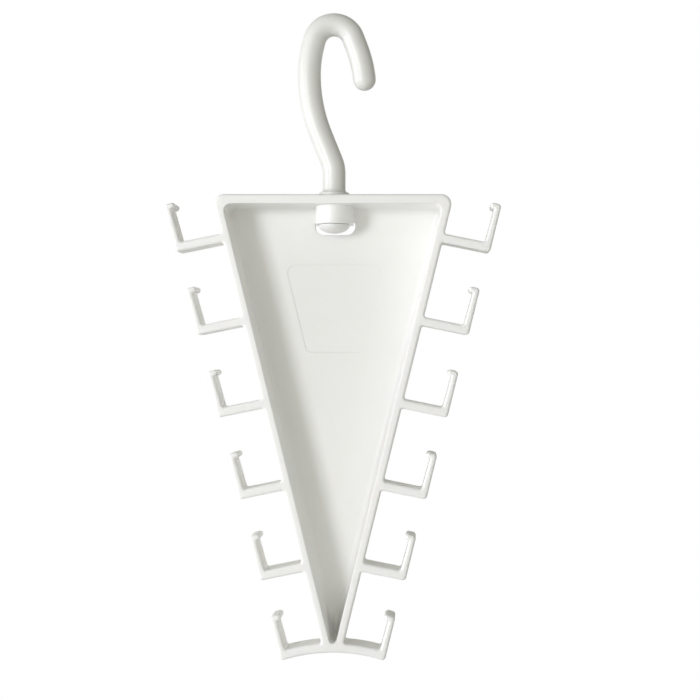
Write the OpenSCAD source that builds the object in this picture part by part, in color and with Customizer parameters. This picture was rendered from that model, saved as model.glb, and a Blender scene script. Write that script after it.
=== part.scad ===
// Tie hanger: a shallow drafted tray with six tie hooks down each side,
// hung from a round-rod hook that swivels in a boss under the tray's top wall.
// Origin: the inside top of the hanging hook, on the swivel axis. +Z is up and the open face looks to -Y.

/* [Hanging hook] */
// Diameter of the round rod
rod_d = 9.2; // [8.4:0.1:10]
// Radius of the rod seat inside the crown
seat_r = 3.6; // [3:0.1:5]
// How far the rod's centre bows out to the left of the swivel axis
bow_reach = 10; // [9:0.1:12]
// Radius of the bow above its widest point
upper_bow_r = 50; // [40:1:60]
// Radius of the bow below its widest point
lower_bow_r = 65; // [55:1:75]
// Lean of the rod where it comes back to the axis
neck_lean = 22; // [19:0.5:25]
// Radius of the bend that brings the rod upright on the axis
neck_bend_r = 13; // [10:0.5:16]
// Length of the straight stem above the tray
stem_h = 9.4; // [7:0.1:14]
// Lean of the open limb
limb_lean = 21; // [16:0.5:26]
// Straight run of the open limb below the crown
limb_run = 4.4; // [2:0.1:8]
// Radius of the open limb's last bend
limb_bend_r = 50; // [40:1:60]
// Turn of the open limb's last bend
limb_turn = 15; // [8:0.5:18]

/* [Swivel] */
// Diameter of the journal inside the boss
journal_d = 7.2; // [6:0.1:8]
// Radial clearance of the journal in its bore
swivel_clearance = 0.08; // [0.05:0.01:0.1]
// Diameter of the shoulder that sits over the top wall
shoulder_d = 12.2; // [11.6:0.1:14]
// Thickness of the shoulder's rim
shoulder_t = 1.2; // [0.3:0.1:1.5]
// Running gap between the shoulder and the top wall
shoulder_gap = 0.2; // [0.1:0.05:0.4]
// Diameter of the formed head under the boss
head_d = 12.6; // [10.5:0.1:14]
// Height of the formed head
head_h = 3.6; // [2.5:0.1:5]
// Height of the formed head's dome
dome_h = 3.4; // [1.5:0.1:3.5]
// Running gap between the head and the boss
head_gap = 0.1; // [0.05:0.05:0.3]

/* [Tray] */
// Width across the top edge, between the sharp corners
tray_w = 96.8; // [85:0.1:110]
// Height from the top edge to the level of the lowest hooks' corners
tray_h = 185.7; // [175:0.1:200]
// Width of the tray at that lowest level
tip_w = 5.7; // [4.5:0.1:8]
// Depth from the open face to the flat back
tray_depth = 20; // [17:0.1:24]
// Depth of the swivel axis behind the open face
axis_depth = 10; // [9:0.1:11]
// Thickness of the back panel
panel_t = 2.5; // [1.8:0.1:3.5]
// Thickness of the top wall
top_wall_t = 3.7; // [3:0.1:5]
// Thickness of the side walls at the open face
side_wall_t = 3.1; // [2.4:0.1:3.6]
// Draft of the inner walls
wall_draft = 2; // [0.5:0.1:3]
// Radius between the inner walls and the panel
root_r = 2.6; // [1:0.1:3]
// Radius of the top corners
corner_r = 4; // [3.6:0.1:5]
// Radius of the pocket's top corners
pocket_corner_r = 3; // [1.5:0.1:4]
// Radius of the pocket's lower end
pocket_tip_r = 1.6; // [1:0.1:2]
// Rounding of the outer edge at the open face
rim_edge_r = 1.1; // [0.5:0.1:1.4]
// Rounding of the outer edge at the back
back_edge_r = 0.6; // [0.3:0.1:1]

/* [Boss and window] */
// Width of the boss
boss_w = 15.2; // [14:0.1:17]
// Height of the boss below the top wall
boss_h = 7.6; // [6:0.1:10]
// Width of the window in the panel below the boss
window_w = 16.4; // [15:0.1:19]
// Height of the window below the boss
window_h = 3.6; // [3.6:0.1:6]
// How far the window runs up behind the boss
window_rise = 1.6; // [0:0.1:3]
// Radius of the window's lower corners
window_r = 3.5; // [1:0.1:3.5]

/* [Label recess] */
// Depth of the bare recess in the panel
label_depth = 0.15; // [0.1:0.05:0.4]
// Width of the recess at its top
label_w = 41; // [30:0.5:46]
// Height of the recess
label_h = 36; // [20:0.5:50]
// Top of the recess below the tray's top edge
label_drop = 27.2; // [24:0.1:36]
// Corner radius of the recess
label_r = 3.3; // [1:0.1:5]

/* [Tie hooks] */
// First hook's root below the top edge
first_drop = 19.3; // [17:0.1:24]
// How much shorter each gap between hooks is than the one above it
pitch_step = 0.25; // [0:0.05:0.5]
// Depth of the hooks behind the open face
hook_depth = 12; // [9:0.1:15]
// Thickness of the arms
arm_t = 3.65; // [3:0.05:4.5]
// Droop of the arms
arm_droop = 11.5; // [8:0.1:15]
// Reach from the tray's side to the top hook's outer face
first_reach = 20; // [17:0.1:24]
// How much shorter each hook's reach is than that of the one above it
reach_step = 0.4; // [0:0.05:0.5]
// Height of the top hook along its upright
first_rise = 19.5; // [17:0.1:23]
// How much lower each hook is than the one above it
rise_step = 0.29; // [0:0.01:0.4]
// Thickness of the uprights at the arm
upright_t = 2.9; // [2.6:0.05:3.6]
// Thickness of the uprights at the tip
upright_tip_t = 2.35; // [2.1:0.05:2.5]
// Radius of the outer corner at the tip
tip_r = 1.4; // [1.1:0.05:1.8]
// Radius of the lip inside the tip
lip_r = 1.15; // [1.1:0.05:1.4]
// How far the lip's centre stands out from the upright
lip_out = 0.7; // [0:0.1:1.2]
// Radius of the outer corner between arm and upright
elbow_r = 1.4; // [1.1:0.1:2]
// Radius of the fillets at the roots and in the elbows
hook_fillet_r = 1; // [0.5:0.1:1.5]
// Rounding of the hooks' edges at the open face
hook_edge_r = 1; // [0.4:0.1:1.05]
// Rounding of the hooks' edges at the back
hook_back_r = 0.4; // [0.2:0.1:0.8]
// Rise of the arch under the lowest pair of hooks
arch_rise = 2.9; // [2:0.1:4]
// Radius of that arch
arch_r = 67; // [55:1:85]

/* [Hidden] */
$fn = 64;

// Number of tie hooks on each side
hooks_per_side = 6;

// Steps in the arcs of the moulded shells
corner_steps = 8;
tip_steps = 6;
fillet_steps = 5;
front_steps = 4;
back_steps = 2;
arch_steps = 6;
web_steps = 2;

// Sides of the rod, and the steps in its bends
rod_sides = 24;
crown_steps = 18;
bow_steps = 5;
neck_steps = 6;
limb_steps = 4;

// Where the rod's rounded tip has its sections, in degrees round from the pole
tip_first = 10;
tip_turn = 16;
tip_last = 74;

// Small overlap for cuts that run past a face
past = 1;

// Smallest radius at the root of the pocket
sharp_r = 0.3;

// Share of the side wall's thickness that a hook's root fills
root_share = 0.7;

// Radius between a hook's lip and its upright
web_r = 0.4;

// How far the shoulder's flare lies inside the rod at its top
flare_bite = 0.2;

rod_r = rod_d / 2;

// Points and directions in the front view are [x, z]
function dir(a) = [cos(a), sin(a)];
function arc(m, r, a0, a1, steps) = [for (k = [0 : steps]) m + r * dir(a0 + (a1 - a0) * k / steps)];

// The point on both lines n * p = c
function meet(n1, c1, n2, c2) =
    [c1 * n2.y - c2 * n1.y, n1.x * c2 - n2.x * c1] / (n1.x * n2.y - n1.y * n2.x);

// Centre of a circle of radius r inside the corner p, between faces with outward normals n1 and n2
function corner_centre(p, n1, n2, r) = p - r * (n1 + n2) / (1 + n1 * n2);

// Depth and inset of each layer of a plate whose edge is rounded at the open face and at the back
function rounded_layers(depth, front_r, back_r) = [
    for (k = [0 : front_steps])
        let (t = 90 * k / front_steps)
        [front_r * (1 - cos(t)), front_r * (1 - sin(t))],
    for (k = [0 : back_steps])
        let (t = 90 * k / back_steps)
        [depth - back_r * (1 - sin(t)), back_r * (1 - cos(t))]
];

// Hanging hook, along the rod's centre line
crown_r = seat_r + rod_r;
crown = [0, rod_r - crown_r];
upper_bow = [
    upper_bow_r - bow_reach,
    crown.y - sqrt(pow(upper_bow_r - crown_r, 2) - pow(upper_bow_r - bow_reach, 2))
];
crown_turn = acos((upper_bow_r - bow_reach) / (upper_bow_r - crown_r));
lower_bow = [lower_bow_r - bow_reach, upper_bow.y];
neck_top = lower_bow - lower_bow_r * dir(neck_lean);
neck_run = (bow_reach - (lower_bow_r + neck_bend_r) * (1 - cos(neck_lean))) / sin(neck_lean);
neck_foot = neck_top + neck_run * [sin(neck_lean), -cos(neck_lean)];
stem_top = neck_foot.y - neck_bend_r * sin(neck_lean);
limb_top = crown + crown_r * dir(limb_lean);
limb_foot = limb_top + limb_run * [sin(limb_lean), -cos(limb_lean)];
limb_bend = limb_foot - limb_bend_r * dir(limb_lean);
tip_lean = limb_lean - limb_turn;

// Tray
tray_top = stem_top - stem_h;
front_y = -axis_depth;
pocket_depth = tray_depth - panel_t;
side_lean = atan((tray_w - tip_w) / 2 / tray_h);
side_n = dir(-side_lean);
side_up = dir(90 - side_lean);
mirror_n = [-side_n.x, side_n.y];
top_corner = [tray_w / 2, tray_top];
side_c = side_n * top_corner;
corner_post = corner_centre(top_corner, side_n, [0, 1], corner_r);
arch_centre = [0, tray_top - tray_h + arch_rise - arch_r];
boss_bottom = tray_top - top_wall_t - boss_h;
bore_d = journal_d + 2 * swivel_clearance;
shoulder_z = tray_top + shoulder_gap;
head_top = boss_bottom - head_gap;

// Direction from the arch's centre at which its circle of radius r meets the line side_n * p = c
function arch_meets(r, c) = acos((c - side_n * arch_centre) / r) - side_lean;

// Outline of the tray, drawn in by the inset
function tray_outline(inset) =
    let (foot = arch_meets(arch_r + inset, side_c - inset), r = corner_r - inset)
    concat(
        arc(corner_post, r, -side_lean, 90, corner_steps),
        arc([-corner_post.x, corner_post.y], r, 90, 180 + side_lean, corner_steps),
        arc(arch_centre, arch_r + inset, 180 - foot, foot, fillet_steps)
    );

// Outline of the pocket, drawn in by the inset. Its corners tighten as it is drawn in.
function pocket_outline(inset) =
    let (
        side = side_wall_t + inset,
        top = top_wall_t + inset,
        corner = meet(side_n, side_c - side, [0, 1], tray_top - top),
        tip = [0, (side_c - side) / side_n.y],
        r = max(pocket_corner_r - inset, sharp_r),
        tip_r = max(pocket_tip_r - inset, sharp_r),
        right = corner_centre(corner, side_n, [0, 1], r)
    )
    concat(
        arc(right, r, -side_lean, 90, corner_steps),
        arc([-right.x, right.y], r, 90, 180 + side_lean, corner_steps),
        arc(corner_centre(tip, side_n, mirror_n, tip_r), tip_r, 180 + side_lean, 360 - side_lean, tip_steps)
    );

// Pocket layers: drafted walls, then the root radius down to the panel
root_depth = pocket_depth - root_r;
root_inset = root_depth * tan(wall_draft) + root_r / cos(wall_draft);
pocket_layers = [
    [-past, 0],
    [0, 0],
    for (k = [0 : tip_steps])
        let (a = wall_draft + (90 - wall_draft) * k / tip_steps)
        [root_depth + root_r * sin(a), root_inset - root_r * cos(a)]
];

// Tie hooks
last_hook = hooks_per_side - 1;
pitch = (tray_h - arch_rise - first_drop) / last_hook;
root_into_wall = side_wall_t * root_share;

function reach(i) = first_reach - i * reach_step;
function rise(i) = first_rise - i * rise_step;

// Height of hook i's root, below the arm where it meets the tray's side
function root_z(i) = tray_top - first_drop - i * pitch - pitch_step * i * (last_hook - i) / 2;

// Line of hook i's outer face
function outer_c(i) = side_c + reach(i) * cos(side_lean);

// Line of the arm's lower face where the arm is straight
arm_n = dir(90 - arm_droop);
function under_c(i) = arm_n * [(side_c - side_n.y * root_z(i)) / side_n.x, root_z(i)];

// Upward normal of the arm at the elbow, and the elbow's centre
function elbow_turn(i) = i < last_hook ? 90 - arm_droop : arch_meets(arch_r + elbow_r, outer_c(i) - elbow_r);
function elbow(i) =
    i < last_hook
    ? meet(side_n, outer_c(i) - elbow_r, arm_n, under_c(i) + elbow_r)
    : arch_centre + (arch_r + elbow_r) * dir(elbow_turn(i));

// Height of the tip above the elbow's centre, along the upright
function tip_rise(i) =
    let (n = -dir(elbow_turn(i)))
    rise(i) + elbow_r * ((n + side_n) * side_up) / (1 + n * side_n);

// Outline of hook i on the right side, drawn in by the inset. It starts inside the tray's wall
// below the arm and goes round the elbow, the tip and the lip, and back over the arm, with as many
// points on the way out as on the way back.
function hook_outline(i, inset) =
    let (
        straight = i < last_hook,
        f = hook_fillet_r,
        over_r = arch_r + arm_t,
        centre = elbow(i),
        turn = elbow_turn(i),
        under = under_c(i),
        top = tip_rise(i),
        tip = centre + (elbow_r - tip_r) * side_n + (top - tip_r) * side_up,
        lip = centre + (elbow_r - upright_tip_t - lip_out) * side_n + (top - lip_r) * side_up,
        foot = centre + (elbow_r - upright_t) * side_n,
        taper = atan((upright_t - upright_tip_t) / top),
        face = 180 - side_lean - taper,
        face_c = dir(face) * foot,
        lip_end = face + acos((face_c + web_r - dir(face) * lip) / (lip_r + web_r)),
        web = lip + (lip_r + web_r) * dir(lip_end),
        inner_turn = straight
            ? turn
            : face - acos((face_c + f - dir(face) * arch_centre) / (over_r + f)),
        inner = straight
            ? meet(dir(face), face_c + f, arm_n, under + arm_t + f)
            : arch_centre + (over_r + f) * dir(inner_turn),
        upper_turn = straight ? turn : arch_meets(over_r + f, side_c + f),
        upper = straight
            ? meet(side_n, side_c + f, arm_n, under + arm_t + f)
            : arch_centre + (over_r + f) * dir(upper_turn),
        lower = meet(side_n, side_c + f, arm_n, under - f),
        root_turn = arch_meets(arch_r, side_c - root_into_wall),
        arch_turn = upper_turn + (turn - upper_turn) / (arch_steps + 1),
        root = straight
            ? arc(lower, f + inset, 180 - side_lean, turn, fillet_steps)
            : concat(
                arc(arch_centre, arch_r + inset, root_turn, upper_turn, fillet_steps + 1),
                arc(arch_centre, arch_r + inset, arch_turn, turn, arch_steps)
            ),
        over = straight ? [] : arc(arch_centre, over_r - inset, inner_turn, upper_turn, arch_steps),
        back = arc(upper, f + inset, upper_turn - 180, -180 - side_lean, fillet_steps)
    )
    concat(
        straight ? [root[0] - root_into_wall * side_n] : [],
        root,
        arc(centre, elbow_r - inset, turn - 180, -side_lean, fillet_steps),
        arc(tip, tip_r - inset, -side_lean, 90 - side_lean, tip_steps + web_steps + 1),
        arc(lip, lip_r - inset, 90 - side_lean, lip_end, tip_steps),
        arc(web, web_r + inset, lip_end - 180, face - 180, web_steps),
        arc(inner, f + inset, face - 180, inner_turn - 180, fillet_steps),
        over,
        back,
        [back[fillet_steps] - root_into_wall * side_n]
    );

// Triangles across an outline, between its first half and its second half taken backwards
function strip(count) = [
    for (k = [0 : floor(count / 2) - 1])
        let (far = count - 1 - k)
        each [
            if (k + 1 < far) [k, k + 1, far],
            if (k + 1 < far - 1) [k + 1, far - 1, far]
        ]
];

// Solid through outlines of equal length, each at its own depth behind the open face
module loft(outlines, depths) {
    count = len(outlines[0]);
    last = len(outlines) - 1;
    polyhedron(
        points = [
            for (k = [0 : last])
                for (p = outlines[k])
                    [p.x, front_y + depths[k], p.y]
        ],
        faces = [
            for (t = strip(count))
                [t[2], t[1], t[0]],
            for (t = strip(count))
                [for (j = t) last * count + j],
            for (k = [0 : last - 1])
                for (j = [0 : count - 1])
                    let (next = (j + 1) % count)
                    each [
                        [k * count + j, k * count + next, (k + 1) * count + next],
                        [k * count + j, (k + 1) * count + next, (k + 1) * count + j]
                    ]
        ]
    );
}

module tray_blank() {
    layers = rounded_layers(tray_depth, rim_edge_r, back_edge_r);
    loft([for (l = layers) tray_outline(l[1])], [for (l = layers) l[0]]);
}

module pocket() {
    loft([for (l = pocket_layers) pocket_outline(l[1])], [for (l = pocket_layers) l[0]]);
}

// Front-view outline, from depth y0 to depth y1
module plate(y0, y1) {
    translate([0, front_y + y1, 0])
        rotate([90, 0, 0])
            linear_extrude(y1 - y0) children();
}

// Boss for the swivel: half round in front, with straight sides back to the panel
module boss() {
    height = boss_h + top_wall_t / 2;
    translate([0, 0, boss_bottom])
        cylinder(d = boss_w, h = height);
    translate([-boss_w / 2, 0, boss_bottom])
        cube([boss_w, pocket_depth - axis_depth + panel_t / 2, height]);
}

// Window with rounded lower corners, open from behind the boss to below its lower face
module window() {
    plate(pocket_depth - past, tray_depth + past)
        translate([0, boss_bottom])
            intersection() {
                translate([-window_w / 2, -window_h])
                    square([window_w, window_h + window_rise]);
                union() {
                    translate([-window_w / 2, window_r - window_h])
                        square([window_w, window_h + window_rise]);
                    translate([window_r - window_w / 2, -window_h])
                        square([window_w - 2 * window_r, window_h]);
                    for (side = [-1, 1])
                        translate([side * (window_w / 2 - window_r), window_r - window_h])
                            circle(window_r);
                }
            }
}

module label_recess() {
    half = label_w / 2;
    foot_half = half - label_h * tan(side_lean);
    top = tray_top - label_drop;
    foot = top - label_h;
    upper = corner_centre([half, top], side_n, [0, 1], label_r);
    lower = corner_centre([foot_half, foot], side_n, [0, -1], label_r);
    plate(pocket_depth - past, pocket_depth + label_depth)
        polygon(concat(
            arc(upper, label_r, -side_lean, 90, corner_steps),
            arc([-upper.x, upper.y], label_r, 90, 180 + side_lean, corner_steps),
            arc([-lower.x, lower.y], label_r, 180 + side_lean, 270, corner_steps),
            arc(lower, label_r, 270, 360 - side_lean, corner_steps)
        ));
}

module tray() {
    color("white")
        difference() {
            union() {
                difference() {
                    tray_blank();
                    pocket();
                }
                boss();
            }
            translate([0, 0, boss_bottom - past])
                cylinder(d = bore_d, h = boss_h + top_wall_t + 2 * past);
            window();
            label_recess();
        }
}

// The tray's right side wall with its rounded edges, a straight bar that runs past both its ends
module side_bar() {
    edge = [for (l = rounded_layers(tray_depth, rim_edge_r, back_edge_r)) [-l[1], l[0]]];
    inner = [[-2 * side_wall_t, tray_depth], [-2 * side_wall_t, -past], [-rim_edge_r, -past]];
    foot = top_corner - (tray_h / cos(side_lean) + side_wall_t) * side_up;
    translate([foot.x, front_y, foot.y])
        rotate([0, side_lean, 0])
            linear_extrude(tray_h / cos(side_lean) + 2 * side_wall_t)
                polygon(concat(edge, inner));
}

// Hook i on the right side: its root fills up to the tray's rounded edge
module right_hook(i) {
    layers = rounded_layers(hook_depth, hook_edge_r, hook_back_r);
    color("white")
        difference() {
            loft([for (l = layers) hook_outline(i, l[1])], [for (l = layers) l[0]]);
            side_bar();
        }
}

module left_hook(i) {
    mirror([1, 0, 0])
        right_hook(i);
}

// Stations of the rod round a bend: [point, normal's direction, radius]. The first is left out where
// the bend goes on from another.
function bend(centre, r, a0, a1, steps, first = 0) = [
    for (k = [first : steps])
        let (a = a0 + (a1 - a0) * k / steps)
        [centre + r * dir(a), a, rod_r]
];

// The whole rod, from its rounded tip to its foot in the shoulder
limb_tip = limb_bend + limb_bend_r * dir(tip_lean);
rod_stations = concat(
    [
        for (t = [tip_first : tip_turn : tip_last])
            [limb_tip + rod_r * cos(t) * dir(tip_lean - 90), tip_lean, rod_r * sin(t)]
    ],
    bend(limb_bend, limb_bend_r, tip_lean, limb_lean, limb_steps),
    bend(crown, crown_r, limb_lean, 180 - crown_turn, crown_steps),
    bend(upper_bow, upper_bow_r, 180 - crown_turn, 180, bow_steps, 1),
    bend(lower_bow, lower_bow_r, 180, 180 + neck_lean, neck_steps, 1),
    bend([-neck_bend_r, stem_top], -neck_bend_r, 180 + neck_lean, 180, bow_steps),
    [[[0, shoulder_z + shoulder_t / 2], 180, rod_r]]
);

module rod() {
    last = len(rod_stations) - 1;
    polyhedron(
        points = [
            for (s = rod_stations)
                for (j = [0 : rod_sides - 1])
                    let (t = 360 * j / rod_sides, p = s[0] + s[2] * cos(t) * dir(s[1]))
                    [p.x, s[2] * sin(t), p.y]
        ],
        faces = [
            [for (j = [0 : rod_sides - 1]) j],
            [for (j = [rod_sides - 1 : -1 : 0]) last * rod_sides + j],
            for (k = [0 : last - 1])
                for (j = [0 : rod_sides - 1])
                    let (next = (j + 1) % rod_sides)
                    each [
                        [k * rod_sides + j, (k + 1) * rod_sides + j, (k + 1) * rod_sides + next],
                        [k * rod_sides + j, (k + 1) * rod_sides + next, k * rod_sides + next]
                    ]
        ]
    );
}

// Shoulder over the top wall, with a flare that blends it into the stem
module shoulder() {
    flare_r = (shoulder_d - rod_d) / 2 + flare_bite;
    translate([0, 0, shoulder_z])
        rotate_extrude() {
            square([shoulder_d / 2, shoulder_t]);
            difference() {
                square([shoulder_d / 2, shoulder_t + flare_r]);
                translate([shoulder_d / 2, shoulder_t + flare_r])
                    circle(flare_r);
            }
        }
}

// Head formed under the boss: a short rim and a dome like a cap of a sphere
module head() {
    half = head_d / 2;
    dome_r = (pow(half, 2) + pow(dome_h, 2)) / (2 * dome_h);
    translate([0, 0, head_top - head_h])
        rotate_extrude()
            intersection() {
                translate([0, dome_r])
                    circle(dome_r);
                square([half, head_h]);
            }
}

module swivel_hook() {
    color("white") {
        rod();
        shoulder();
        translate([0, 0, head_top - head_h / 2])
            cylinder(d = journal_d, h = shoulder_z - head_top + (head_h + shoulder_t) / 2);
        head();
    }
}

tray();
swivel_hook();
left_hook(0);  // tie_hook_left_1
left_hook(1);  // tie_hook_left_2
left_hook(2);  // tie_hook_left_3
left_hook(3);  // tie_hook_left_4
left_hook(4);  // tie_hook_left_5
left_hook(5);  // tie_hook_left_6
right_hook(0);  // tie_hook_right_1
right_hook(1);  // tie_hook_right_2
right_hook(2);  // tie_hook_right_3
right_hook(3);  // tie_hook_right_4
right_hook(4);  // tie_hook_right_5
right_hook(5);  // tie_hook_right_6
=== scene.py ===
import bmesh
import bpy
import math
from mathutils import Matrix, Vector


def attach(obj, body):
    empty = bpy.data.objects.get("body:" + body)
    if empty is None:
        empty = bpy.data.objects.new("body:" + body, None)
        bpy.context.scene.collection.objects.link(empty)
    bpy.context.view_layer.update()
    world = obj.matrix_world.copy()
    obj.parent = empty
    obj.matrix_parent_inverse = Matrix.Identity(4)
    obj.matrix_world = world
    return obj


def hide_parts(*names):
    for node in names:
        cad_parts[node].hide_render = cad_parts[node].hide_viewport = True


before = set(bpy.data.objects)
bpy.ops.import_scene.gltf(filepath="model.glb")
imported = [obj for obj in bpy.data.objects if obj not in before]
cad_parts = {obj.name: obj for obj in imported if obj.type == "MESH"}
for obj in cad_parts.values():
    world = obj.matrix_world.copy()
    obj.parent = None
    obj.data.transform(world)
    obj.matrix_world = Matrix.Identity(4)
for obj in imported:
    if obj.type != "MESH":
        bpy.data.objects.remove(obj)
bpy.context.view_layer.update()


def mm(value):
    """Millimetres to metres."""
    return value / 1000.0


def srgb(hex_colour):
    """sRGB hex to linear RGBA."""
    parts = [int(hex_colour[i:i + 2], 16) / 255.0 for i in (0, 2, 4)]
    linear = [c / 12.92 if c <= 0.04045 else ((c + 0.055) / 1.055) ** 2.4 for c in parts]
    return (*linear, 1.0)


def add_node(owner, kind, settings=None, inputs=None, links=None):
    """Adds a node to a material or the world; links maps an input, by name or number, to its source."""
    tree = owner.node_tree
    node = tree.nodes.new(kind)
    for name, value in (settings or {}).items():
        setattr(node, name, value)
    for name, value in (inputs or {}).items():
        node.inputs[name].default_value = value
    for name, output in (links or {}).items():
        tree.links.new(output, node.inputs[name])
    return node


# The photograph's frame: the image plane is parallel to the tray. The camera is about level with
# the hanger's middle and stands to the right of it, so the picture is shifted back to the left
CAMERA_DISTANCE = mm(533.0)     # from the open face
CAMERA_X = mm(34.8)
CAMERA_Z = mm(-127.2)
PICTURE_WIDTH = mm(278.6)       # across the picture, at the open face
PICTURE_SHIFT = -0.1            # as a share of that width; below 0 is to the left
AXIS_DEPTH = 10.0               # of the swivel axis behind the open face, in millimetres
OPEN_FACE_Y = mm(-AXIS_DEPTH)
SENSOR_WIDTH = 36.0

camera_data = bpy.data.cameras.new("camera")
camera_data.sensor_width = SENSOR_WIDTH
camera_data.lens = SENSOR_WIDTH * CAMERA_DISTANCE / PICTURE_WIDTH
camera_data.shift_x = PICTURE_SHIFT
camera_data.clip_start = 0.01
camera_data.clip_end = 50.0
camera = bpy.data.objects.new("camera", camera_data)
camera.location = (CAMERA_X, OPEN_FACE_Y - CAMERA_DISTANCE, CAMERA_Z)
camera.rotation_euler = (math.radians(90), 0, 0)
bpy.context.scene.collection.objects.link(camera)
bpy.context.scene.camera = camera


# Outlines in the front view are lists of (x, z) in millimetres. Depth is counted back from the open face.

def direction(angle):
    """Unit vector in the front view, from an angle in degrees."""
    return Vector((math.cos(math.radians(angle)), math.sin(math.radians(angle))))


def arc(centre, radius, start, end, steps):
    return [centre + radius * direction(start + (end - start) * k / steps) for k in range(steps + 1)]


def meeting_point(normal_1, offset_1, normal_2, offset_2):
    """Where two lines cross, each given by its normal and its distance from the origin."""
    across = normal_1.x * normal_2.y - normal_2.x * normal_1.y
    return Vector((offset_1 * normal_2.y - offset_2 * normal_1.y,
                   normal_1.x * offset_2 - normal_2.x * offset_1)) / across


def corner_centre(corner, normal_1, normal_2, radius):
    """Centre of the rounding inside a corner between two faces with these outward normals."""
    return corner - radius * (normal_1 + normal_2) / (1 + normal_1.dot(normal_2))


def corner_pair(centre, radius, start, end, steps):
    """A rounding at the right and its mirror image at the left, in one run over the top."""
    return (arc(centre, radius, start, end, steps)
            + arc(Vector((-centre.x, centre.y)), radius, 180 - end, 180 - start, steps))


def rounded_layers(depth, front_radius, back_radius):
    """Depth and inset of each layer of a plate with rounded edges."""
    turns = [math.radians(90 * k / EDGE_STEPS) for k in range(EDGE_STEPS + 1)]
    front = [(front_radius * (1 - math.cos(t)), front_radius * (1 - math.sin(t))) for t in turns]
    back = [(depth - back_radius * (1 - math.sin(t)), back_radius * (1 - math.cos(t))) for t in turns]
    return front + back


# Sizes of the moulding, in millimetres
TRAY_TOP, TRAY_W, TRAY_H, TIP_W, TRAY_DEPTH = -65.047, 96.8, 185.7, 5.7, 20.0
SIDE_WALL_T, TOP_WALL_T, WALL_DRAFT, ROOT_R = 3.1, 3.7, 2.0, 2.6
POCKET_DEPTH = 17.5
CORNER_R, POCKET_CORNER_R, POCKET_TIP_R = 4.0, 3.0, 1.6
RIM_EDGE_R, BACK_EDGE_R = 1.1, 0.6
BOSS_W, BOSS_H, BORE_R = 15.2, 7.6, 3.68
WINDOW_W, WINDOW_H, WINDOW_RISE, WINDOW_R = 16.4, 3.6, 1.6, 3.5
LABEL_DEPTH, LABEL_W, LABEL_H, LABEL_DROP, LABEL_R = 0.15, 41.0, 36.0, 27.2, 3.3
HOOKS_PER_SIDE, FIRST_DROP, PITCH_STEP, HOOK_DEPTH = 6, 19.3, 0.25, 12.0
ARM_T, ARM_DROOP, FIRST_REACH, REACH_STEP, FIRST_RISE, RISE_STEP = 3.65, 11.5, 20.0, 0.4, 19.5, 0.29
UPRIGHT_T, UPRIGHT_TIP_T, TIP_R, LIP_R, LIP_OUT, WEB_R = 2.9, 2.35, 1.4, 1.15, 0.7, 0.4
ELBOW_R, HOOK_FILLET_R, HOOK_EDGE_R, HOOK_BACK_R = 1.4, 1.0, 1.0, 0.4
ARCH_RISE, ARCH_R = 2.9, 67.0
ROOT_INTO_WALL = SIDE_WALL_T * 0.7      # how far a hook's root lies inside the tray's wall
SHARPEST_R = 0.3                        # smallest radius at the root of the pocket
BOSS_EDGE_R, BOSS_BACK_Y = 0.4, 8.5     # radius of the boss's lower edge; its back, inside the panel
PAST = 1.0                              # how far a cut runs past a face
HAIR = 0.02                             # kept between two faces that would otherwise be one
TOUCHING = 0.001                        # closer than this, two points of an outline are one

# Steps in the roundings
EDGE_STEPS, CORNER_STEPS, FILLET_STEPS, TIP_STEPS, WEB_STEPS, ARCH_STEPS = 6, 12, 8, 12, 4, 12
UNDER_ARCH_STEPS, TRAY_FOOT_STEPS, POCKET_TIP_STEPS = 18, 6, 10
LABEL_STEPS, ROUND_STEPS, BOSS_EDGE_STEPS = 10, 48, 4

SIDE_LEAN = math.degrees(math.atan((TRAY_W - TIP_W) / 2 / TRAY_H))
SIDE_N, SIDE_UP = direction(-SIDE_LEAN), direction(90 - SIDE_LEAN)
UP = Vector((0, 1))
TOP_CORNER = Vector((TRAY_W / 2, TRAY_TOP))
SIDE_C = SIDE_N.dot(TOP_CORNER)
ARCH_CENTRE = Vector((0, TRAY_TOP - TRAY_H + ARCH_RISE - ARCH_R))
BOSS_BOTTOM = TRAY_TOP - TOP_WALL_T - BOSS_H


def arch_meets(radius, offset):
    """Direction from the arch's centre at which its circle meets a line along the tray's side."""
    return math.degrees(math.acos((offset - SIDE_N.dot(ARCH_CENTRE)) / radius)) - SIDE_LEAN


def tray_outline(inset):
    post = corner_centre(TOP_CORNER, SIDE_N, UP, CORNER_R)
    foot = arch_meets(ARCH_R + inset, SIDE_C - inset)
    return (corner_pair(post, CORNER_R - inset, -SIDE_LEAN, 90, CORNER_STEPS)
            + arc(ARCH_CENTRE, ARCH_R + inset, 180 - foot, foot, TRAY_FOOT_STEPS))


def pocket_outline(inset):
    side = SIDE_C - SIDE_WALL_T - inset
    corner = meeting_point(SIDE_N, side, UP, TRAY_TOP - TOP_WALL_T - inset)
    tip = Vector((0, side / SIDE_N.y))
    radius, tip_radius = max(POCKET_CORNER_R - inset, SHARPEST_R), max(POCKET_TIP_R - inset, SHARPEST_R)
    post = corner_centre(corner, SIDE_N, UP, radius)
    left_n = Vector((-SIDE_N.x, SIDE_N.y))
    tip_post = corner_centre(tip, SIDE_N, left_n, tip_radius)
    return (corner_pair(post, radius, -SIDE_LEAN, 90, CORNER_STEPS)
            + arc(tip_post, tip_radius, 180 + SIDE_LEAN, 360 - SIDE_LEAN, POCKET_TIP_STEPS))


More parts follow.
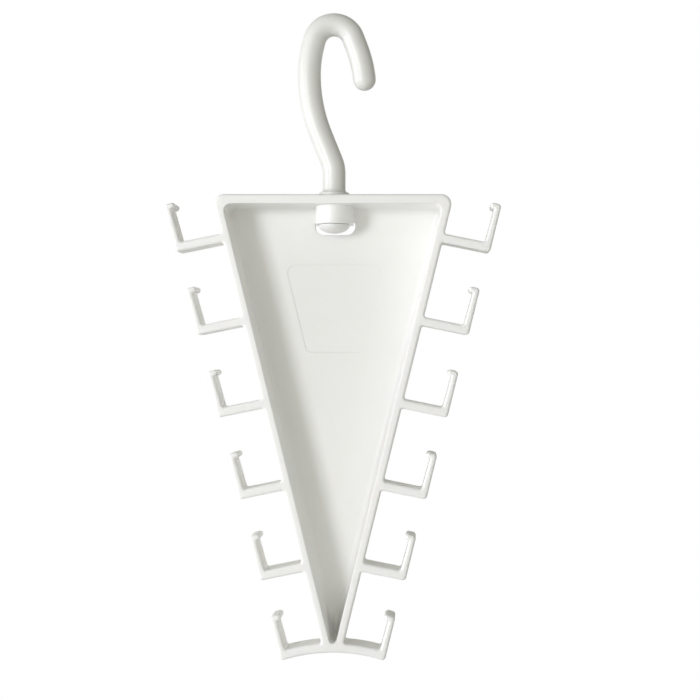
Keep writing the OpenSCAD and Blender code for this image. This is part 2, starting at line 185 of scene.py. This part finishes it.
def pocket_layers():
    """The pocket's drafted walls, then the radius at their root, down to the panel."""
    start = POCKET_DEPTH - ROOT_R
    inset = start * math.tan(math.radians(WALL_DRAFT)) + ROOT_R / math.cos(math.radians(WALL_DRAFT))
    layers = [(-PAST, 0.0), (0.0, 0.0)]
    for k in range(CORNER_STEPS + 1):
        a = math.radians(WALL_DRAFT + (90 - WALL_DRAFT) * k / CORNER_STEPS)
        layers.append((start + ROOT_R * math.sin(a), inset - ROOT_R * math.cos(a)))
    return layers


def hook_outline(i, inset):
    """Right-hand tie hook i: out under the arm, round the elbow and the tip, and back over the arm."""
    last = HOOKS_PER_SIDE - 1
    pitch = (TRAY_H - ARCH_RISE - FIRST_DROP) / last
    root_z = TRAY_TOP - FIRST_DROP - i * pitch - PITCH_STEP * i * (last - i) / 2
    outer_c = SIDE_C + (FIRST_REACH - i * REACH_STEP) * math.cos(math.radians(SIDE_LEAN))
    arm_n = direction(90 - ARM_DROOP)
    under = arm_n.dot(Vector(((SIDE_C - SIDE_N.y * root_z) / SIDE_N.x, root_z)))
    straight = i < last
    f = HOOK_FILLET_R
    over_r = ARCH_R + ARM_T
    if straight:
        turn = 90 - ARM_DROOP
        centre = meeting_point(SIDE_N, outer_c - ELBOW_R, arm_n, under + ELBOW_R)
    else:
        turn = arch_meets(ARCH_R + ELBOW_R, outer_c - ELBOW_R)
        centre = ARCH_CENTRE + (ARCH_R + ELBOW_R) * direction(turn)
    n = -direction(turn)
    top = FIRST_RISE - i * RISE_STEP + ELBOW_R * (n + SIDE_N).dot(SIDE_UP) / (1 + n.dot(SIDE_N))
    tip = centre + (ELBOW_R - TIP_R) * SIDE_N + (top - TIP_R) * SIDE_UP
    lip = centre + (ELBOW_R - UPRIGHT_TIP_T - LIP_OUT) * SIDE_N + (top - LIP_R) * SIDE_UP
    face = 180 - SIDE_LEAN - math.degrees(math.atan((UPRIGHT_T - UPRIGHT_TIP_T) / top))
    face_c = direction(face).dot(centre + (ELBOW_R - UPRIGHT_T) * SIDE_N)
    lip_end = face + math.degrees(math.acos((face_c + WEB_R - direction(face).dot(lip)) / (LIP_R + WEB_R)))
    web = lip + (LIP_R + WEB_R) * direction(lip_end)
    if straight:
        inner_turn = turn
        upper_turn = turn
        inner = meeting_point(direction(face), face_c + f, arm_n, under + ARM_T + f)
        upper = meeting_point(SIDE_N, SIDE_C + f, arm_n, under + ARM_T + f)
        lower = meeting_point(SIDE_N, SIDE_C + f, arm_n, under - f)
        root = arc(lower, f + inset, 180 - SIDE_LEAN, turn, FILLET_STEPS)
        root = [root[0] - ROOT_INTO_WALL * SIDE_N] + root
        over = []
    else:
        inner_turn = face - math.degrees(
            math.acos((face_c + f - direction(face).dot(ARCH_CENTRE)) / (over_r + f)))
        upper_turn = arch_meets(over_r + f, SIDE_C + f)
        inner = ARCH_CENTRE + (over_r + f) * direction(inner_turn)
        upper = ARCH_CENTRE + (over_r + f) * direction(upper_turn)
        root_turn = arch_meets(ARCH_R, SIDE_C - ROOT_INTO_WALL)
        root = arc(ARCH_CENTRE, ARCH_R + inset, root_turn, turn, UNDER_ARCH_STEPS)
        over = arc(ARCH_CENTRE, over_r - inset, inner_turn, upper_turn, ARCH_STEPS)
    back = arc(upper, f + inset, upper_turn - 180, -180 - SIDE_LEAN, FILLET_STEPS)
    return (root
            + arc(centre, ELBOW_R - inset, turn - 180, -SIDE_LEAN, FILLET_STEPS)
            + arc(tip, TIP_R - inset, -SIDE_LEAN, 90 - SIDE_LEAN, FILLET_STEPS)
            + arc(lip, LIP_R - inset, 90 - SIDE_LEAN, lip_end, TIP_STEPS)
            + arc(web, WEB_R + inset, lip_end - 180, face - 180, WEB_STEPS)
            + arc(inner, f + inset, face - 180, inner_turn - 180, FILLET_STEPS)
            + over + back + [back[-1] - ROOT_INTO_WALL * SIDE_N])


def new_piece(name, points, faces):
    """A mesh object from points in millimetres."""
    mesh = bpy.data.meshes.new(name)
    mesh.from_pydata([tuple(mm(v) for v in p) for p in points], [], faces)
    piece = bpy.data.objects.new(name, mesh)
    bpy.context.scene.collection.objects.link(piece)
    return piece


def skin(name, rings, flip=False):
    """Closed solid through rings of equally many points; flip turns its faces the other way."""
    count, last = len(rings[0]), len(rings) - 1
    faces = [list(range(count)), [last * count + j for j in reversed(range(count))]]
    for k in range(last):
        for j in range(count):
            n = (j + 1) % count
            faces.append([k * count + j, (k + 1) * count + j, (k + 1) * count + n, k * count + n])
    if flip:
        faces = [list(reversed(face)) for face in faces]
    return new_piece(name, [point for ring in rings for point in ring], faces)


def loft(name, outlines, depths):
    """Closed solid through outlines of equally many points in the front view, each at its own depth."""
    return skin(name, [[(p.x, depth - AXIS_DEPTH, p.y) for p in outline]
                       for outline, depth in zip(outlines, depths)])


def layered(name, outline_at, layers):
    """Closed solid from layers, each a depth and the inset of the outline there."""
    return loft(name, [outline_at(inset) for _, inset in layers], [depth for depth, _ in layers])


def plate(name, outline, depth_0, depth_1):
    return loft(name, [outline, outline], [depth_0, depth_1])


def combine(piece, other, operation):
    """Adds or cuts another solid, which is then gone."""
    step = piece.modifiers.new("combine", "BOOLEAN")
    step.operation = operation
    step.solver = "EXACT"
    step.object = other
    evaluated = piece.evaluated_get(bpy.context.evaluated_depsgraph_get())
    mesh = bpy.data.meshes.new_from_object(evaluated)
    piece.modifiers.clear()
    piece.data = mesh
    bpy.data.objects.remove(other)


# Limits for cleaning and shading the meshes
WELD_GAP, SHORTEST_EDGE = mm(0.002), mm(0.001)
PLANE_STEP, PLANE_MATCH, PLANE_AREA = mm(0.02), mm(0.01), mm(1.0) * mm(25.0)
HANGER_SHARP, HOOK_SHARP = 32, 40       # degrees


def weld(piece):
    """Joins the points that the cuts left a hair apart, so that the surface is closed."""
    mesh = bmesh.new()
    mesh.from_mesh(piece.data)
    bmesh.ops.remove_doubles(mesh, verts=mesh.verts, dist=WELD_GAP)
    bmesh.ops.dissolve_degenerate(mesh, edges=mesh.edges, dist=SHORTEST_EDGE)
    mesh.to_mesh(piece.data)
    mesh.free()


def flat_planes(mesh):
    """Normal and offset of each plane that holds a fair share of the surface."""
    area, plane_of = {}, {}
    for face in mesh.polygons:
        n, offset = face.normal, face.normal.dot(face.center)
        key = (round(n.x, 3), round(n.y, 3), round(n.z, 3), round(offset / PLANE_STEP))
        area[key] = area.get(key, 0.0) + face.area
        if key not in plane_of or face.area > plane_of[key][2]:
            plane_of[key] = (n.copy(), offset, face.area)
    return [plane_of[key][:2] for key in area if area[key] > PLANE_AREA]


def smooth(piece, sharp_angle):
    """Smooth shading up to an angle, with flat faces kept flat right up to their roundings."""
    mesh = piece.data
    planes = flat_planes(mesh)
    on_plane = []
    for vertex in mesh.vertices:
        on_plane.append([n for n, offset in planes if abs(n.dot(vertex.co) - offset) < PLANE_MATCH])
    places = [tuple(round(c / WELD_GAP) for c in vertex.co) for vertex in mesh.vertices]
    faces_at = {}
    for face in mesh.polygons:
        for vertex in face.vertices:
            faces_at.setdefault(places[vertex], []).append(face)
    limit = math.cos(math.radians(sharp_angle))
    corner_normals = []
    for face in mesh.polygons:
        for vertex in face.vertices:
            flat = max(on_plane[vertex], key=face.normal.dot, default=None)
            if flat is not None and flat.dot(face.normal) > limit:
                corner_normals.append(flat)
                continue
            total = Vector((0, 0, 0))
            for other in faces_at[places[vertex]]:
                if face.normal.dot(other.normal) > limit:
                    total += other.normal * other.area
            corner_normals.append(total.normalized() if total.length > 0 else face.normal.copy())
    mesh.shade_smooth()
    mesh.normals_split_custom_set(corner_normals)


def side_with_hooks(inset):
    """Right-hand side of the moulding, from its foot up, out and back along each tie hook."""
    points = []
    for i in reversed(range(HOOKS_PER_SIDE)):
        outline = hook_outline(i, inset)
        points += outline[:-1] if i == HOOKS_PER_SIDE - 1 else outline[1:-1]
    return points


def moulding_outline(inset):
    """Outline of the tray and all its tie hooks in the front view."""
    post = corner_centre(TOP_CORNER, SIDE_N, UP, CORNER_R)
    right = side_with_hooks(inset)
    left = [Vector((-p.x, p.y)) for p in reversed(right)]
    return right + corner_pair(post, CORNER_R - inset, -SIDE_LEAN, 90, CORNER_STEPS) + left


def without_doubles(outlines):
    """Leaves out the points at which two arcs of the first outline touch, in all of them."""
    first = outlines[0]
    kept = [j for j in range(len(first)) if (first[j] - first[j - 1]).length > TOUCHING]
    return [[outline[j] for j in kept] for outline in outlines]


def make_boss():
    """Half round in front, straight sides back to the panel, a small radius on its lower edge."""
    half_round = [BOSS_W / 2 * direction(180 + 180 * k / ROUND_STEPS) for k in range(ROUND_STEPS + 1)]
    section = half_round + [Vector((BOSS_W / 2, BOSS_BACK_Y)), Vector((-BOSS_W / 2, BOSS_BACK_Y))]
    levels = []
    for k in range(BOSS_EDGE_STEPS + 1):
        a = math.radians(90 * k / BOSS_EDGE_STEPS)
        levels.append((BOSS_BOTTOM + BOSS_EDGE_R * (1 - math.cos(a)),
                       1 - BOSS_EDGE_R * (1 - math.sin(a)) / (BOSS_W / 2)))
    levels.append((TRAY_TOP - TOP_WALL_T / 2, 1.0))
    return skin("boss", [[(p.x * scale, p.y * scale if p.y < 0 else p.y, z) for p in section]
                         for z, scale in levels], flip=True)


def make_hanger():
    """Tray, boss and tie hooks: one moulding."""
    front = rounded_layers(HOOK_DEPTH, HOOK_EDGE_R, HOOK_BACK_R)
    outlines = without_doubles([moulding_outline(inset) for _, inset in front])
    body = loft("hanger_moulding", outlines, [depth for depth, _ in front])
    # behind the hooks the tray goes on, a hair smaller so that the two don't share a face
    back = rounded_layers(TRAY_DEPTH, RIM_EDGE_R, BACK_EDGE_R)[EDGE_STEPS + 1:]
    rear = [(depth, inset + HAIR) for depth, inset in [(HOOK_DEPTH / 2, 0.0)] + back]
    combine(body, layered("rear", tray_outline, rear), "UNION")
    combine(body, layered("pocket", pocket_outline, pocket_layers()), "DIFFERENCE")
    combine(body, make_boss(), "UNION")
    bore = [BORE_R * direction(360 * j / ROUND_STEPS) for j in range(ROUND_STEPS)]
    ends = (BOSS_BOTTOM - PAST, TRAY_TOP + PAST)
    combine(body, skin("bore", [[(p.x, p.y, z) for p in bore] for z in ends], flip=True), "DIFFERENCE")
    x, z = WINDOW_W / 2 - WINDOW_R, BOSS_BOTTOM - WINDOW_H + WINDOW_R
    window = (arc(Vector((-x, z)), WINDOW_R, 180, 270, CORNER_STEPS)
              + arc(Vector((x, z)), WINDOW_R, 270, 360, CORNER_STEPS)
              + [Vector((WINDOW_W / 2, BOSS_BOTTOM + WINDOW_RISE)),
                 Vector((-WINDOW_W / 2, BOSS_BOTTOM + WINDOW_RISE))])
    combine(body, plate("window", window, POCKET_DEPTH - PAST, TRAY_DEPTH + PAST), "DIFFERENCE")
    half, top = LABEL_W / 2, TRAY_TOP - LABEL_DROP
    foot_half = half - LABEL_H * math.tan(math.radians(SIDE_LEAN))
    upper = corner_centre(Vector((half, top)), SIDE_N, UP, LABEL_R)
    lower = corner_centre(Vector((foot_half, top - LABEL_H)), SIDE_N, -UP, LABEL_R)
    recess = (corner_pair(upper, LABEL_R, -SIDE_LEAN, 90, LABEL_STEPS)
              + arc(Vector((-lower.x, lower.y)), LABEL_R, 180 + SIDE_LEAN, 270, LABEL_STEPS)
              + arc(lower, LABEL_R, 270, 360 - SIDE_LEAN, LABEL_STEPS))
    combine(body, plate("recess", recess, POCKET_DEPTH - 2 * PAST, POCKET_DEPTH + LABEL_DEPTH), "DIFFERENCE")
    weld(body)
    smooth(body, HANGER_SHARP)
    return body


# The hanging hook, in millimetres
ROD_R, SEAT_R, BOW_REACH, UPPER_BOW_R, LOWER_BOW_R = 4.6, 3.6, 10.0, 50.0, 65.0
NECK_LEAN, NECK_BEND_R, LIMB_LEAN, LIMB_RUN, LIMB_BEND_R, LIMB_TURN = 22.0, 13.0, 21.0, 4.4, 50.0, 15.0
SHOULDER_R, SHOULDER_T, SHOULDER_GAP, JOURNAL_R = 6.1, 1.2, 0.2, 3.6
HEAD_R, HEAD_H, DOME_H, HEAD_GAP = 6.3, 3.6, 3.4, 0.1
EDGE_BREAK, RIM_BREAK = 0.1, 0.15       # off the corners of shoulder and head, and up the shoulder's rim
TIP_TURNS = range(5, 90, 8)             # sections of the limb's rounded tip, in degrees from its pole
ROD_SIDES, LIMB_STEPS, CROWN_STEPS, BOW_STEPS = 64, 8, 40, 16
NECK_STEPS, FLARE_STEPS, DOME_STEPS = 14, 8, 16


def make_swivel_hook():
    """One round rod, bent to shape, with the shoulder, journal and formed head at its foot."""
    crown_r = SEAT_R + ROD_R
    crown = Vector((0, ROD_R - crown_r))
    drop = math.sqrt((UPPER_BOW_R - crown_r) ** 2 - (UPPER_BOW_R - BOW_REACH) ** 2)
    upper_bow = Vector((UPPER_BOW_R - BOW_REACH, crown.y - drop))
    crown_turn = math.degrees(math.acos((UPPER_BOW_R - BOW_REACH) / (UPPER_BOW_R - crown_r)))
    lower_bow = Vector((LOWER_BOW_R - BOW_REACH, upper_bow.y))
    lean = math.radians(NECK_LEAN)
    neck_run = (BOW_REACH - (LOWER_BOW_R + NECK_BEND_R) * (1 - math.cos(lean))) / math.sin(lean)
    neck_top = lower_bow - LOWER_BOW_R * direction(NECK_LEAN)
    neck_foot = neck_top + neck_run * Vector((math.sin(lean), -math.cos(lean)))
    stem_top = neck_foot.y - NECK_BEND_R * math.sin(lean)
    limb = math.radians(LIMB_LEAN)
    limb_foot = crown + crown_r * direction(LIMB_LEAN) + LIMB_RUN * Vector((math.sin(limb), -math.cos(limb)))
    limb_bend = limb_foot - LIMB_BEND_R * direction(LIMB_LEAN)
    tip_lean = LIMB_LEAN - LIMB_TURN
    limb_tip = limb_bend + LIMB_BEND_R * direction(tip_lean)

    def bend(centre, radius, start, end, steps):
        return [(centre + radius * direction(start + (end - start) * k / steps),
                 start + (end - start) * k / steps, ROD_R) for k in range(steps + 1)]

    rings = [(limb_tip + ROD_R * math.cos(math.radians(t)) * direction(tip_lean - 90), tip_lean,
              ROD_R * math.sin(math.radians(t))) for t in TIP_TURNS]
    rings += bend(limb_bend, LIMB_BEND_R, tip_lean, LIMB_LEAN, LIMB_STEPS)
    rings += bend(crown, crown_r, LIMB_LEAN, 180 - crown_turn, CROWN_STEPS)
    rings += bend(upper_bow, UPPER_BOW_R, 180 - crown_turn, 180, BOW_STEPS)[1:]
    rings += bend(lower_bow, LOWER_BOW_R, 180, 180 + NECK_LEAN, BOW_STEPS)[1:]
    rings += bend(Vector((-NECK_BEND_R, stem_top)), -NECK_BEND_R, 180 + NECK_LEAN, 180, NECK_STEPS)

    def foot(z, radius):
        rings.append((Vector((0, z)), 180, radius))

    shoulder = TRAY_TOP + SHOULDER_GAP
    flare = SHOULDER_R - ROD_R
    for k in range(FLARE_STEPS + 1):
        a = math.radians(90 * k / FLARE_STEPS)
        foot(shoulder + SHOULDER_T + flare * (1 - math.sin(a)), SHOULDER_R - flare * math.cos(a))
    foot(shoulder + SHOULDER_T - RIM_BREAK, SHOULDER_R)
    foot(shoulder, SHOULDER_R - EDGE_BREAK)
    foot(shoulder, JOURNAL_R)
    head_top = BOSS_BOTTOM - HEAD_GAP
    foot(head_top, JOURNAL_R)
    foot(head_top, HEAD_R - EDGE_BREAK)
    for k in range(DOME_STEPS):
        a = math.radians(90 * k / DOME_STEPS)
        foot(head_top - HEAD_H + DOME_H * (1 - math.sin(a)), HEAD_R * math.cos(a))
    turns = [2 * math.pi * j / ROD_SIDES for j in range(ROD_SIDES)]
    skinned = []
    for centre, angle, radius in rings:
        across = [centre + radius * math.cos(t) * direction(angle) for t in turns]
        skinned.append([(p.x, radius * math.sin(t), p.y) for p, t in zip(across, turns)])
    piece = skin("swivel_hook_moulding", skinned)
    smooth(piece, HOOK_SHARP)
    return piece


def moulded_polypropylene(name, colour, shade, roughness, grain_mm, grain_height_mm):
    """White polypropylene from a polished steel mould: a soft satin gloss, a faint
    cloudiness where the melt flowed, and the fine grain of the mould's surface."""
    material = bpy.data.materials.new(name)
    material.use_nodes = True
    material.node_tree.nodes.clear()
    output = add_node(material, "ShaderNodeOutputMaterial")
    place = add_node(material, "ShaderNodeTexCoord")
    # cloudiness about 40 mm across
    cloud = add_node(material, "ShaderNodeTexNoise",
                     inputs={"Scale": 1.0 / mm(40.0), "Detail": 2.0, "Roughness": 0.5},
                     links={"Vector": place.outputs["Object"]})
    tint = add_node(material, "ShaderNodeMix", {"data_type": "RGBA"},
                    links={"Factor": cloud.outputs["Fac"]})
    tint.inputs["A"].default_value = srgb(shade)
    tint.inputs["B"].default_value = srgb(colour)
    # edges that catch the mould's radius: normals rounded over about a third of a millimetre
    edge = add_node(material, "ShaderNodeBevel", {"samples": 6}, {"Radius": mm(0.35)})
    # the real grain is too fine for the picture, so it is drawn about a millimetre across to show
    grain = add_node(material, "ShaderNodeTexNoise",
                     inputs={"Scale": 1.0 / mm(grain_mm), "Detail": 3.0, "Roughness": 0.6},
                     links={"Vector": place.outputs["Object"]})
    bump = add_node(material, "ShaderNodeBump",
                    inputs={"Strength": 0.25, "Distance": mm(grain_height_mm)},
                    links={"Height": grain.outputs["Fac"], "Normal": edge.outputs["Normal"]})
    gloss = add_node(material, "ShaderNodeMapRange",
                     inputs={"From Min": 0.3, "From Max": 0.7,
                             "To Min": roughness - 0.04, "To Max": roughness + 0.04},
                     links={"Value": cloud.outputs["Fac"]})
    surface = add_node(material, "ShaderNodeBsdfPrincipled",
                       inputs={"IOR": 1.49, "Subsurface Weight": 0.5,
                               "Subsurface Radius": (1.0, 0.95, 0.9), "Subsurface Scale": mm(2.5)},
                       links={"Base Color": tint.outputs["Result"], "Roughness": gloss.outputs["Result"],
                              "Normal": bump.outputs["Normal"]})
    material.node_tree.links.new(surface.outputs["BSDF"], output.inputs["Surface"])
    return material


hanger_pp = moulded_polypropylene("moulded_polypropylene_hanger", "F6F6F4", "F3F3F1", 0.42, 0.9, 0.02)
hook_pp = moulded_polypropylene("moulded_polypropylene_hook", "E9E9E6", "E6E6E3", 0.34, 1.2, 0.015)

for name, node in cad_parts.items():
    material = hook_pp if name == "swivel_hook" else hanger_pp
    node.data.materials.clear()
    node.data.materials.append(material)

hanger = make_hanger()
hanger.data.materials.append(hanger_pp)
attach(hanger, "hanger")
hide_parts(*[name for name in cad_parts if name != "swivel_hook"])

hook = make_swivel_hook()
hook.data.materials.append(hook_pp)
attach(hook, "hook")
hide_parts("swivel_hook")


LIGHT_DISTANCE, LIGHT_WIDTH, LIGHT_HEIGHT, LIGHT_AIM_Z = 1.2, 0.3, 0.4, mm(-125.0)
LAMP_COLOUR, ROOM_COLOUR = (0.96, 0.96, 1.0), (1, 1, 0.92, 1)   # linear: a touch cool, and a touch warm


def area_light(name, azimuth, elevation, power):
    """A soft box, aimed at the middle of the hanger. Azimuth 0 is in front, positive to the right."""
    data = bpy.data.lights.new(name, "AREA")
    data.shape = "RECTANGLE"
    data.size, data.size_y = LIGHT_WIDTH, LIGHT_HEIGHT
    data.energy = power
    data.color = LAMP_COLOUR
    light = bpy.data.objects.new(name, data)
    a, e = math.radians(azimuth), math.radians(elevation)
    aim = Vector((0, 0, LIGHT_AIM_Z))
    away = Vector((math.sin(a) * math.cos(e), -math.cos(a) * math.cos(e), math.sin(e)))
    light.location = aim + LIGHT_DISTANCE * away
    light.rotation_euler = (aim - light.location).to_track_quat("-Z", "Y").to_euler()
    bpy.context.scene.collection.objects.link(light)


area_light("key_left", -36, 4, 6.0)
area_light("side_left", -78, 2, 6.0)

world = bpy.data.worlds.new("studio")
world.use_nodes = True
bpy.context.scene.world = world
world.node_tree.nodes.clear()
world_out = add_node(world, "ShaderNodeOutputWorld")
toward = add_node(world, "ShaderNodeTexCoord")
split = add_node(world, "ShaderNodeSeparateXYZ", links={"Vector": toward.outputs["Generated"]})
# the room is brightest in front of the open face and behind the back
forward = add_node(world, "ShaderNodeMath", {"operation": "ABSOLUTE"}, links={0: split.outputs["Y"]})
front_fill = add_node(world, "ShaderNodeMapRange",
                      inputs={"From Min": 0.5, "From Max": 1.0, "To Min": 0.34, "To Max": 0.75},
                      links={"Value": forward.outputs[0]})
# and darker at the ceiling and the ground than at the walls
height = add_node(world, "ShaderNodeMath", {"operation": "ABSOLUTE"}, links={0: split.outputs["Z"]})
level_fill = add_node(world, "ShaderNodeMapRange", inputs={"To Min": 1.0, "To Max": 0.65},
                      links={"Value": height.outputs[0]})
fill = add_node(world, "ShaderNodeMath", {"operation": "MULTIPLY"},
                links={0: front_fill.outputs["Result"], 1: level_fill.outputs["Result"]})
room = add_node(world, "ShaderNodeBackground", inputs={"Color": ROOM_COLOUR},
                links={"Strength": fill.outputs[0]})
white = add_node(world, "ShaderNodeBackground", inputs={"Color": (1, 1, 1, 1), "Strength": 1.0})
rays = add_node(world, "ShaderNodeLightPath")
choose = add_node(world, "ShaderNodeMixShader",
                  links={0: rays.outputs["Is Camera Ray"], 1: room.outputs["Background"],
                         2: white.outputs["Background"]})
world.node_tree.links.new(choose.outputs["Shader"], world_out.inputs["Surface"])

bpy.context.scene.view_settings.view_transform = "Standard"

# Pale floor well below the hanging part
floor_mesh = bpy.data.meshes.new("floor")
half = 0.9
level = mm(-620.0)
corners = [(-half, -half, level), (half, -half, level), (half, half, level), (-half, half, level)]
floor_mesh.from_pydata(corners, [], [(0, 1, 2, 3)])
floor = bpy.data.objects.new("floor", floor_mesh)
bpy.context.scene.collection.objects.link(floor)
# Board rolled with matt paint: hardly any gloss. The paint only throws light on the hanger.
# The camera sees one pale tone in its place, which takes no light and shows no shadow.
floor_paint = bpy.data.materials.new("matt_painted_board")
floor_paint.use_nodes = True
floor_paint.node_tree.nodes.clear()
floor_out = add_node(floor_paint, "ShaderNodeOutputMaterial")
paint = add_node(floor_paint, "ShaderNodeBsdfPrincipled",
                 inputs={"Base Color": srgb("EDEDEC"), "Roughness": 0.9})
pale = add_node(floor_paint, "ShaderNodeEmission", inputs={"Color": srgb("F3F3F2"), "Strength": 1.0})
seen = add_node(floor_paint, "ShaderNodeLightPath")
either = add_node(floor_paint, "ShaderNodeMixShader",
                  links={0: seen.outputs["Is Camera Ray"], 1: paint.outputs["BSDF"],
                         2: pale.outputs["Emission"]})
floor_paint.node_tree.links.new(either.outputs["Shader"], floor_out.inputs["Surface"])
floor_mesh.materials.append(floor_paint)
